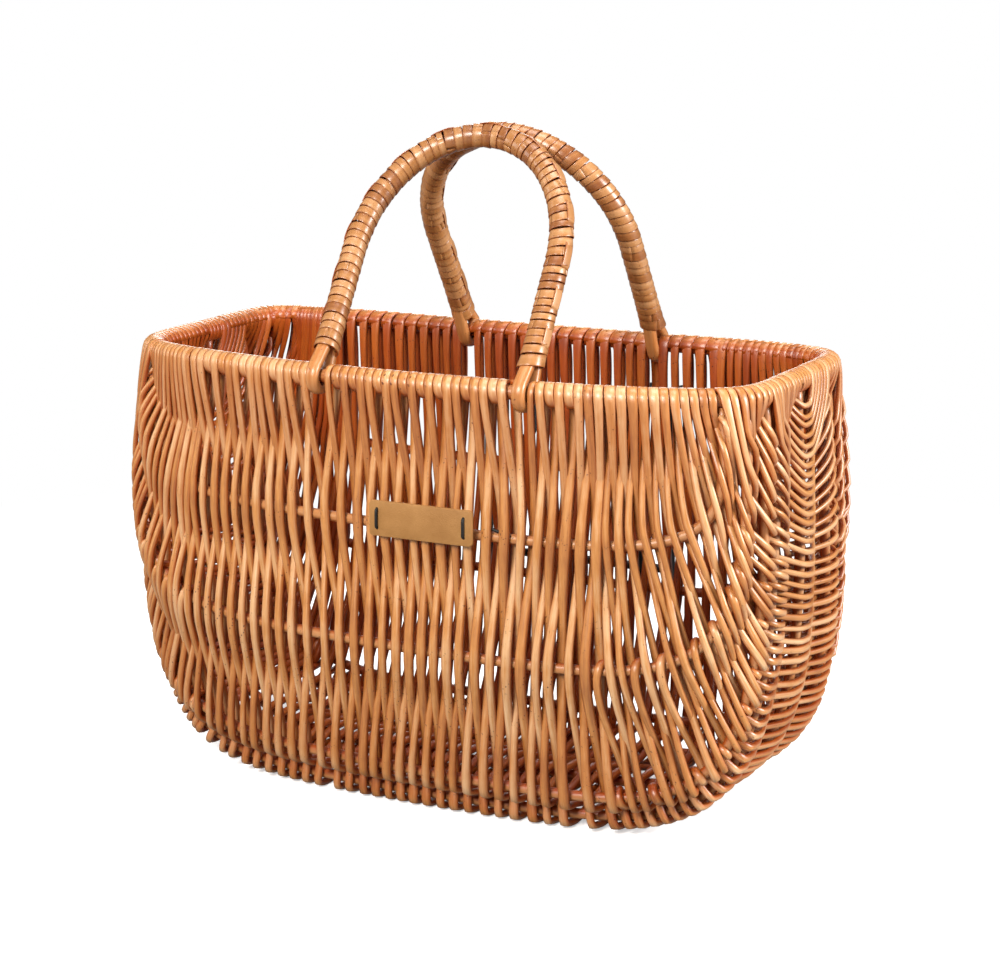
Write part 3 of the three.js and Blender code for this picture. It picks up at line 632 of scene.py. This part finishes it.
def rib_point(n, k):
    """Where row n meets rib k: its place on the rib, the way out of the wall, the side on which it
    passes, and the way on to the next rib."""
    row, track = rows[n], rib_tracks[k]
    place = row["crossings"][k] + row["jitter"][k]
    centre, along = track.at(place), track.along(place)
    out = away_from_basket(centre[None])[0]
    out -= along * np.dot(out, along)
    before, after = (rib_tracks[j].at(row["places"][j]) for j in (max(k - 1, 0), min(k + 1, last_rib)))
    onward = unit(after - before)
    out = unit(out - onward * np.dot(out, onward))
    side = 1 if (n + k) % 2 == 0 else -1
    return centre, out, side, onward


def row_points(n):
    """The middle part of a row, in the order it is woven. It lies flat over each rib for the rib's
    width and bends on both sides of it."""
    row = rows[n]
    points, facing, width = [], [], []
    first, last = row["ribs"]
    for k in range(first + (first > 0), last + 1 - (first > 0)):
        if row["crossings"][k] is None:
            continue
        centre, out, side, onward = rib_point(n, k)
        reach = RIB_RADII[k] + ROD_THICK * (0.6 + 0.4 * row["scale"]) * 0.95
        for shift in (-FLAT_HALF, FLAT_HALF):
            points.append(centre + out * side * reach + onward * shift)
            facing.append(out)
            width.append(row["width"] * (1 - BACK_SLIMMER * k / last_rib))
    if n % 2:
        points, facing, width = points[::-1], facing[::-1], width[::-1]
    return points, facing, width


def rim_frame(place, is_back):
    """A point of the hoop and the level way out of the basket there."""
    track = rim_back if is_back else rim_front
    place = min(max(place, 0), track.length)
    along = track.along(place)
    out = np.array([along[1], -along[0], 0]) if is_back else np.array([-along[1], along[0], 0])
    return track.at(place), out


def touch_angle(point, place, is_back, side):
    """How far round the hoop a rod from a point below touches it, on the outer or the inner side."""
    centre, out = rim_frame(place, is_back)
    a, b = np.dot(point - centre, out), (point - centre)[2]
    return math.atan2(b, a) + side * math.acos(min(0.98, HOOP_TURN / math.hypot(a, b)))


def coil(is_back, start, end, place_at, width):
    """Points that wind round the hoop from one angle to another, up outside and down inside."""
    points, facing = [], []
    count = max(3, int((end - start) / COIL_STEP))
    for angle in np.linspace(start, end, count + 1):
        centre, out = rim_frame(place_at(angle), is_back)
        radial = out * math.cos(angle) + np.array([0, 0, 1]) * math.sin(angle)
        points.append(centre + radial * HOOP_TURN)
        facing.append(radial)
    return points, facing, [width] * len(points)


def finished_rod(points, facing, widths, on_rim, tone):
    """A rod ready to lay. Where it is wound on the rim it is pressed flat."""
    for i in range(1, len(facing)):
        if np.dot(facing[i], facing[i - 1]) < 0:
            facing[i] = -facing[i]
    path, slim, face, wide, pressed = smooth_line(points, facing, widths, on_rim)
    wide = wide * (1 - SLIMMER * slim)
    thick = np.minimum(ROD_THICK, wide * 0.92) * (1 - 0.4 * pressed)
    return path, face, thick, wide, tone, 0.88 - 0.56 * pressed


def next_place(key, here, wanted):
    """Where a rod that winds on along the rim may go without crossing the slot of a handle's hook."""
    for slot in SLOTS_AT[key]:
        if here < slot < wanted:
            return max(here, slot - SLOT_REACH)
    return wanted


def full_rod(position):
    """One full row with the turn round the rim that follows it."""
    n = full_rows[position]
    row = rows[n]
    arrives_back = n % 2 == 0
    key = "back" if arrives_back else "front"
    other = "front" if arrives_back else "back"
    points, facing, widths = row_points(n)
    leave_angle = touch_angle(points[0], row[other], not arrives_back, -1)
    leave_width = row["width"] * 0.95
    if not arrives_back and position:
        room = abs(row[other] - rows[full_rows[position - 1]][other])
        leave_width = max(leave_width, min(row["width"] * BACK_BROADER, room - WRAP_GAP))
    start, start_face, start_width = coil(
        not arrives_back, leave_angle - START_SWEEP, leave_angle, lambda angle: row[other], leave_width)
    arrive_angle = touch_angle(points[-1], row[key], arrives_back, 1)
    later = rows[full_rows[min(position + 2, len(full_rows) - 1)]]
    drift = next_place(key, row[key], later[key]) - row[key]
    turns = 2 if drift > (1.5 + arrives_back) * WRAP_PITCH else 1
    end_angle = END_SWEEP + 2 * math.pi * (turns - 1)
    widest = (drift or 4) / (2 * turns) - WRAP_GAP
    rim_width = max(THINNEST_WRAP, min(row["width"] * WRAP_BROADER, widest))

    def wound(angle):
        return row[key] + drift * max(angle, 0) / (2 * math.pi * turns)

    end, end_face, end_width = coil(arrives_back, arrive_angle, end_angle, wound, rim_width)
    on_rim = [1] * len(start) + [0] * len(points) + [1] * len(end)
    return finished_rod(start + points + end, start_face + facing + end_face,
                        start_width + widths + end_width, on_rim, row["tone"])


def loop_round(n, following, k):
    """The way round rib k from the row n to the row that follows it."""
    centre, out, side, onward = rib_point(n, k)
    centre_next = rib_point(following, k)[0]
    across = -onward if k < last_rib / 2 else onward
    reach = RIB_RADII[k] + ROD_THICK * 0.85
    points, facing = [], []
    for share in np.linspace(0, 1, 7):
        angle = math.pi * share
        radial = out * side * math.cos(angle) + across * math.sin(angle)
        points.append(centre + (centre_next - centre) * share + radial * reach)
        facing.append(radial)
    return points, facing, [rows[n]["width"]] * len(points)


def short_rod(n):
    """Two short rows: out along one, round a rib, back along the other and round again."""
    def to_front(m):
        points, facing, widths = row_points(m)
        return (points, facing, widths) if m % 2 else (points[::-1], facing[::-1], widths[::-1])

    def to_back(m):
        return tuple(part[::-1] for part in to_front(m))

    first, last = rows[n]["ribs"]
    parts = [to_front(n), loop_round(n, n + 1, first), to_back(n + 1), loop_round(n + 1, n, last)]
    points, facing, widths = (
        [value for part in parts for value in part[i]] + [parts[0][i][0]] for i in range(3))
    return finished_rod(points, facing, widths, [0] * len(points), rows[n]["tone"])


def end_wraps(side):
    """The rod that winds round the hoop at the middle of one end, where no row leaves it."""
    points, facing = [], []
    for angle in np.arange(0, 2 * math.pi * END_WRAPS, COIL_STEP):
        place = END_WRAPS_REACH * (1 - angle / (math.pi * END_WRAPS)) * side
        is_back = place < 0
        track = rim_back if is_back else rim_front
        centre, out = rim_frame(abs(place) if side > 0 else track.length - abs(place), is_back)
        radial = out * math.cos(angle) + np.array([0, 0, 1]) * math.sin(angle)
        points.append(centre + radial * HOOP_TURN)
        facing.append(radial)
    widths = [END_WRAPS_REACH / END_WRAPS - WRAP_GAP] * len(points)
    return finished_rod(points, facing, widths, [1] * len(points), 0.5)


woven_willow = willow_finish("peeled_willow_weave", "#792C06", "#CB8947", "#F3CFA2")
# The passes are sorted into the fourteen groups that the frame's rods stand for. Short rows lie in
# pairs, and each pair is one rod.
short_pairs = [n for n, row in enumerate(rows) if row["ribs"][0] > 0][::2]
corner = END_ROWS + FAN_ROWS
group_edges = [
    *np.linspace(0, corner, 4).round().astype(int),
    *np.linspace(corner, corner + len(middle), 9).round().astype(int)[1:],
    *np.linspace(corner + len(middle), len(rows), 4).round().astype(int)[1:],
]
for group, (low, high) in enumerate(zip(group_edges, group_edges[1:]), start=1):
    laid = [full_rod(position) for position, n in enumerate(full_rows) if low <= n < high]
    laid += [short_rod(n) for n in short_pairs if low <= n < high]
    if low == 0 or high == len(rows):
        laid.append(end_wraps(1 if low == 0 else -1))
    piece = lay_rods(f"woven_rods_{group:02d}", laid, woven_willow, "basket", sides=10)
    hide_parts(f"weaver_{group:02d}")


# Each handle is one thick willow rod, hooked round the rim at both feet so that it swings, and bound
# from foot to foot with flat split willow. A second strip lies along the outside, over and under.
HANDLE_CENTRE = 14
HANDLE_HALF_SPAN = 69
HANDLE_HEIGHT = 167
HANDLE_STRAIGHT = 84
HANDLE_REACH = 8.2
HOOK_EYE = 8.3
HOOK_THICK = 3.3
HOOK_WIDE = 4.2
CROTCH_HEIGHT = 30
# The rod's tail inside the basket, as heights above the rim's middle and distances from the leg.
HOOK_TAIL = ((34, -2.2), (25, -3.8), (15, -6.2), (7, -7.9))
BINDING_START = 16.5
BINDING_RADIUS = 7.0
# Each turn of the strip leans along the leg, tilts like a shingle and gapes a little on one side.
STRIP_PITCH = 5.6
STRIP_THICK = 0.5
STRIP_STEPS = 22
STRIP_SLANT = 0.34
STRIP_TILT = 0.1
STRIP_LAP = 0.05
STRIP_GAPE = 0.5
GAPE_ANGLE = math.radians(40)
COLLAR_PITCH = 8
LAST_TURN = 9
FOOT_FLARE = 1.0
FOOT_LENGTH = 20
# The strip along the outside shows over two turns in every five.
LEADER_ANGLE = math.radians(72)
LEADER_WIDE = 3.2
LEADER_THICK = 0.4
LEADER_RISE = 0.5
LEADER_EVERY = 5
LEADER_POINTS = 9


class Handle:
    """One handle's plane: across from foot to foot, rise up the arch, facing away from the basket."""

    def __init__(self, face):
        track = rim_front if face < 0 else rim_back
        left, right = (track.at(track.where_x(HANDLE_CENTRE + side * HANDLE_HALF_SPAN))
                       for side in (-1, 1))
        self.span = np.linalg.norm(right - left) / 2
        self.across = unit(right - left)
        self.middle = (left + right) / 2
        lean = math.asin((feet_distance / 2 - HANDLE_REACH) / HANDLE_HEIGHT)
        rise = np.array([0, -face * math.sin(lean), math.cos(lean)])
        self.rise = unit(rise - self.across * np.dot(rise, self.across))
        self.facing = unit(np.cross(self.across, self.rise)) * -face

    def place(self, u, w, n=0):
        return self.middle + self.across * u + self.rise * w + self.facing * n

    def half(self, start):
        """Places from the right foot up to the top of the arch."""
        leg = [(self.span, w) for w in np.arange(start, HANDLE_STRAIGHT, 9)]
        crown = HANDLE_HEIGHT - HANDLE_STRAIGHT
        return leg + [(self.span * math.cos(a), HANDLE_STRAIGHT + crown * math.sin(a))
                      for a in np.linspace(0, math.pi / 2, 15)]


def mirrored(half):
    return half + [(-place[0], *place[1:]) for place in half[-2::-1]]


feet_at = [[track.at(track.where_x(HANDLE_CENTRE + side * HANDLE_HALF_SPAN))[1] for side in (-1, 1)]
           for track in (rim_front, rim_back)]
feet_distance = (sum(feet_at[1]) - sum(feet_at[0])) / 2


def handle_core(handle):
    """The bare rod: up inside the rim, round under it, up the leg and over to the other foot."""
    hook = [(handle.span, w, n) for w, n in HOOK_TAIL]
    swing = math.acos(HOOK_EYE / CROTCH_HEIGHT)
    for angle in np.linspace(-math.pi, math.pi / 2 - swing, 12):
        hook.append((handle.span, HOOK_EYE * math.sin(angle), HOOK_EYE * math.cos(angle)))
    path = mirrored(hook + [(u, w, 0) for u, w in handle.half(CROTCH_HEIGHT)])
    points = np.array([handle.place(*place) for place in path])
    along = unit(np.gradient(points, axis=0))
    facing = unit(np.cross(along, np.tile(handle.across, (len(points), 1))))
    return points, facing, HOOK_THICK, HOOK_WIDE, 0.6, 0.8


def strip_turns(length):
    """How far along the handle each turn of the strip starts: a wide collar, then uneven turns."""
    starts = [0.0, COLLAR_PITCH]
    while starts[-1] < length - LAST_TURN:
        starts.append(starts[-1] + STRIP_PITCH * chance.uniform(0.76, 1.2))
    return np.array(starts + [length])


def handle_binding(handle):
    """The wound strip and the strip along the outside, as short flat rods."""
    track = Track([handle.place(u, w) for u, w in mirrored(handle.half(BINDING_START))])
    starts = strip_turns(track.length)
    laid = []
    for i, (low, high) in enumerate(zip(starts[:-1], starts[1:])):
        pitch = high - low
        points, facing, widths = [], [], []
        phase = chance.uniform(0, 2 * math.pi)
        gape = STRIP_GAPE * chance.uniform(0.2, 1)
        lift = chance.normal(0, 0.05)
        for step in range(STRIP_STEPS + 1):
            angle = phase + 2 * math.pi * step / STRIP_STEPS
            distance = low + pitch * 0.5 + pitch * STRIP_SLANT * math.sin(angle - LEADER_ANGLE)
            distance = min(max(distance, 0.1), track.length - 0.1)
            along = track.along(distance)
            outward = unit(np.cross(along, handle.facing))
            radial = handle.facing * math.cos(angle) + outward * math.sin(angle)
            foot = min(distance, track.length - distance)
            flare = FOOT_FLARE * max(0, 1 - foot / FOOT_LENGTH) * abs(math.cos(angle))
            points.append(track.at(distance) + radial * (BINDING_RADIUS + lift + flare))
            facing.append(radial + along * STRIP_TILT * (-1 if distance > track.length / 2 else 1))
            widths.append(pitch / 2 + STRIP_LAP - gape * max(0, math.cos(angle - GAPE_ANGLE)))
        laid.append((points, np.array(facing), STRIP_THICK, np.array(widths),
                     chance.choice([0.3, 0.46, 0.54, 0.6, 0.66]), 0.35))
    for i in range(2, len(starts) - LEADER_EVERY, LEADER_EVERY):
        reach = np.linspace(starts[i] - 1.5, starts[i + 2] + 1.5, LEADER_POINTS)
        points, facing = [], []
        for share, distance in zip(np.linspace(0, 1, LEADER_POINTS), reach):
            along = track.along(distance)
            outward = unit(np.cross(along, handle.facing))
            radial = handle.facing * math.cos(LEADER_ANGLE) + outward * math.sin(LEADER_ANGLE)
            rise = LEADER_RISE * min(1, 4 * share, 4 * (1 - share)) - 0.1
            points.append(track.at(distance) + radial * (BINDING_RADIUS + rise))
            facing.append(radial)
        laid.append((points, np.array(facing), LEADER_THICK, LEADER_WIDE, chance.uniform(0.5, 0.7), 0.4))
    return laid


# The hooks are the same willow, worn smooth. The strips are split from the rod's outside, so they are
# glossier and have fewer specks.
worn_willow = willow_finish("worn_willow_core", "#7F3D15", "#BE783D", "#DCA56C", roughness=0.36)
bound_willow = willow_finish("split_willow_binding", "#763714", "#AF7641", "#D2A070", roughness=0.3,
                             specks=0.6)
for name, face in (("front", -1), ("back", 1)):
    handle = Handle(face)
    core = lay_rods(f"{name}_handle_core", [handle_core(handle)], worn_willow, f"{name}_handle",
                    sides=14, outward="none")
    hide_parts(f"{name}_handle_rod")
    # The finish paints the strips darker on their undersides and edges: painted shade between the turns.
    binding = lay_rods(f"{name}_handle_wrap", handle_binding(handle), bound_willow, f"{name}_handle",
                       sides=12, outward="facing")
    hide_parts(f"{name}_handle_binding")


# The label is a thick piece of vegetable-tanned leather, left bare, sewn to the wall with two loops
# of waxed black thread.
LABEL_SIZE = (70, 2.5, 22)
LABEL_X = 19
LABEL_LIFT = 6
LABEL_CORNER = 2.5
LABEL_EDGE = 0.5
STITCH_X = 29.5
STITCH_SPAN = 12
THREAD_RADIUS = 0.95
# The thread's ends lie on the weave to the right of the label, at these places from the upper rib.
THREAD_ENDS = ((38, -1, 4), (42, -2, 6), (46, -2, 4.5), (52, -1, 3), (55, 0, 1))
CAD_RIB_RADIUS = 4
CAD_ROD_THICK = 4.3
CAD_GAP = 0.32
upper_rib = rib_tracks[0].at(rib_tracks[0].where_x(LABEL_X))
label_back = upper_rib[1] - (CAD_RIB_RADIUS + CAD_GAP + CAD_ROD_THICK) - CAD_GAP
label_middle = np.array([LABEL_X, label_back - LABEL_SIZE[1] / 2, upper_rib[2] + LABEL_LIFT])


def leather_finish():
    material = bare_material("tanned_leather")
    tree = material.node_tree
    place = add_node(tree, "ShaderNodeTexCoord")
    # Pebbled grain just under 1 mm across, and soft clouds 15 mm across.
    pebble = add_node(tree, "ShaderNodeTexVoronoi", {
        "Vector": place.outputs["Object"], "Scale": 1300.0, "Randomness": 1.0})
    cloud = add_node(tree, "ShaderNodeTexNoise", {
        "Vector": place.outputs["Object"], "Scale": 70.0, "Detail": 5.0, "Roughness": 0.62})
    fine = add_node(tree, "ShaderNodeTexNoise", {
        "Vector": place.outputs["Object"], "Scale": 900.0, "Detail": 3.0})
    ramp = add_node(tree, "ShaderNodeValToRGB", {"Fac": cloud.outputs["Fac"]})
    ramp.color_ramp.elements[0].position = 0.32
    ramp.color_ramp.elements[0].color = linear("#946530")
    ramp.color_ramp.elements[1].position = 0.68
    ramp.color_ramp.elements[1].color = linear("#B5854C")
    mottle = add_node(tree, "ShaderNodeMix", {
        "Factor": fine.outputs["Fac"], "A": ramp.outputs["Color"], "B": linear("#A5743C")},
        data_type="RGBA")
    height = add_node(tree, "ShaderNodeMath", {
        0: fine.outputs["Fac"], 1: 0.5, 2: pebble.outputs["Distance"]}, operation="MULTIPLY_ADD")
    bump = add_node(tree, "ShaderNodeBump", {
        "Height": height.outputs[0], "Strength": 0.5, "Distance": 0.0003})
    skin = add_node(tree, "ShaderNodeBsdfPrincipled", {
        "Base Color": mottle.outputs["Result"], "Roughness": 0.62, "Normal": bump.outputs[0]})
    add_node(tree, "ShaderNodeOutputMaterial", {"Surface": skin.outputs[0]})
    return material


def pick_edges(chosen):
    """Selects the edges of the label whose extent along y suits the test."""
    bpy.ops.mesh.select_all(action="DESELECT")
    bpy.ops.object.mode_set(mode="OBJECT")
    for edge in label.data.edges:
        ends = [label.data.vertices[i].co for i in edge.vertices]
        edge.select = chosen(abs(ends[0].y - ends[1].y))
    bpy.ops.object.mode_set(mode="EDIT")


bpy.ops.object.select_all(action="DESELECT")
bpy.ops.mesh.primitive_cube_add(size=1)
label = bpy.context.object
label.name = "leather_label"
bpy.ops.object.mode_set(mode="EDIT")
bpy.ops.transform.resize(value=tuple(size * MM for size in LABEL_SIZE))
bpy.ops.mesh.select_mode(type="EDGE")
pick_edges(lambda extent: extent > MM)
bpy.ops.mesh.bevel(offset=LABEL_CORNER * MM, segments=5, affect="EDGES")
pick_edges(lambda extent: extent < 0.1 * MM)
bpy.ops.mesh.bevel(offset=LABEL_EDGE * MM, segments=2, affect="EDGES")
bpy.ops.mesh.select_all(action="SELECT")
bpy.ops.transform.translate(value=tuple((label_middle + own_to_frame) * MM))
bpy.ops.object.mode_set(mode="OBJECT")
bpy.ops.object.shade_smooth_by_angle(angle=math.radians(35))
label.data.materials.append(leather_finish())
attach(label, "basket")
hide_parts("label")


def dark_finish(name, deep, light, scale, roughness, bump_depth):
    """A near-black finish with a fine mottle that keeps it from looking flat: wax or paint."""
    material = bare_material(name)
    tree = material.node_tree
    place = add_node(tree, "ShaderNodeTexCoord")
    mottle = add_node(tree, "ShaderNodeTexNoise", {
        "Vector": place.outputs["Object"], "Scale": scale, "Detail": 4.0})
    ramp = add_node(tree, "ShaderNodeValToRGB", {"Fac": mottle.outputs["Fac"]})
    ramp.color_ramp.elements[0].position = 0.35
    ramp.color_ramp.elements[0].color = linear(deep)
    ramp.color_ramp.elements[1].position = 0.7
    ramp.color_ramp.elements[1].color = linear(light)
    rough = add_node(tree, "ShaderNodeMapRange", {
        "Value": mottle.outputs["Fac"], "To Min": roughness - 0.1, "To Max": roughness + 0.15})
    bump = add_node(tree, "ShaderNodeBump", {
        "Height": mottle.outputs["Fac"], "Strength": 0.4, "Distance": bump_depth})
    skin = add_node(tree, "ShaderNodeBsdfPrincipled", {
        "Base Color": ramp.outputs["Color"], "Roughness": rough.outputs[0], "Normal": bump.outputs[0]})
    add_node(tree, "ShaderNodeOutputMaterial", {"Surface": skin.outputs[0]})
    return material


waxed_thread = dark_finish("waxed_black_thread", "#050404", "#181411", 2500.0, 0.55, 0.0002)
stitch_face = label_middle[1] - LABEL_SIZE[1] / 2 - THREAD_RADIUS - 0.2
for name, side in (("left", -1), ("right", 1)):
    x = LABEL_X + side * STITCH_X
    top, foot = (label_middle[2] + level * STITCH_SPAN / 2 for level in (1, -1))
    loop = np.array([
        (x, label_back + 4, top - 0.4), (x, stitch_face + 1.2, top), (x, stitch_face + 0.2, top - 0.8),
        (x, stitch_face, top - 2.2), (x, stitch_face, foot + 2.2), (x, stitch_face + 0.2, foot + 0.8),
        (x, stitch_face + 1.2, foot), (x, label_back + 4, foot + 0.4)])
    strands = [(loop, np.tile([1.0, 0, 0], (len(loop), 1)), THREAD_RADIUS, THREAD_RADIUS, 0.5, 1)]
    if side > 0:
        ends = upper_rib + np.array(THREAD_ENDS)
        strands.append((ends, np.tile([0.0, 1, 0], (len(ends), 1)), THREAD_RADIUS, THREAD_RADIUS, 0.5, 1))
    thread = lay_rods(f"thread_{name}", strands, waxed_thread, "basket", sides=10,
                      outward="none")
    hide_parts(f"label_stitch_{name}")


# The hanger is steel wire, painted a satin black. Two hairpin hooks stand against the back wall, bent
# out and down at the top so that they hang on a rail, and their feet are welded to a crossbar.
WIRE_RADIUS = 2.9
HOOK_HALF_WIDTH = 11
HOOK_CENTRES = (-38, 76)
HOOK_TOP = 0.888 * RIM_HEIGHT
CROSSBAR_HEIGHT = 0.437 * RIM_HEIGHT
HOOK_MOUTH = 24
HOOK_DROP = 24
WIRE_FOOT = 8
CROSSBAR_OVERHANG = 8
black_wire = dark_finish("black_painted_wire", "#0B0B0C", "#232326", 500.0, 0.38, 0.0001)
wall_reach = CAD_RIB_RADIUS + CAD_GAP + CAD_ROD_THICK
hook_sides = [centre + side * HOOK_HALF_WIDTH for centre in HOOK_CENTRES for side in (-1, 1)]
wire_y = wall_reach + CAD_GAP + WIRE_RADIUS + max(
    track.at(track.where_x(x))[1] for track in rib_tracks[-2:] for x in hook_sides)


def wire(name, path, replaced):
    path = np.array(path)
    facing = np.tile([0.3, 0.8, 0.5], (len(path), 1))
    piece = lay_rods(name, [(path, facing, WIRE_RADIUS, WIRE_RADIUS, 0.5, 1)], black_wire, "basket",
                     sides=12, outward="none")
    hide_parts(replaced)


for name, centre in zip(("left", "right"), HOOK_CENTRES):
    shoulder = HOOK_TOP - HOOK_MOUTH / 2 - WIRE_RADIUS
    half = HOOK_HALF_WIDTH
    side_of = [(half, 0, CROSSBAR_HEIGHT - WIRE_FOOT), (half, 0, shoulder)]
    side_of += [(half, HOOK_MOUTH / 2 * (1 - math.cos(a)), shoulder + HOOK_MOUTH / 2 * math.sin(a))
                for a in np.linspace(0, math.pi, 13)[1:]]
    tip = [(half * math.cos(a), HOOK_MOUTH, shoulder - HOOK_DROP - half * math.sin(a))
           for a in np.linspace(0, math.pi, 13)]
    whole = side_of + tip + [(-x, y, z) for x, y, z in side_of[::-1]]
    wire(f"wire_hook_{name}", [(centre + x, wire_y + y, z) for x, y, z in whole], f"hanger_hook_{name}")
bar_y = wire_y + 2 * WIRE_RADIUS + CAD_GAP
wire("wire_crossbar", [(x, bar_y, CROSSBAR_HEIGHT) for x in (
    hook_sides[0] - CROSSBAR_OVERHANG, sum(HOOK_CENTRES) / 2, hook_sides[-1] + CROSSBAR_OVERHANG)],
    "hanger_crossbar")
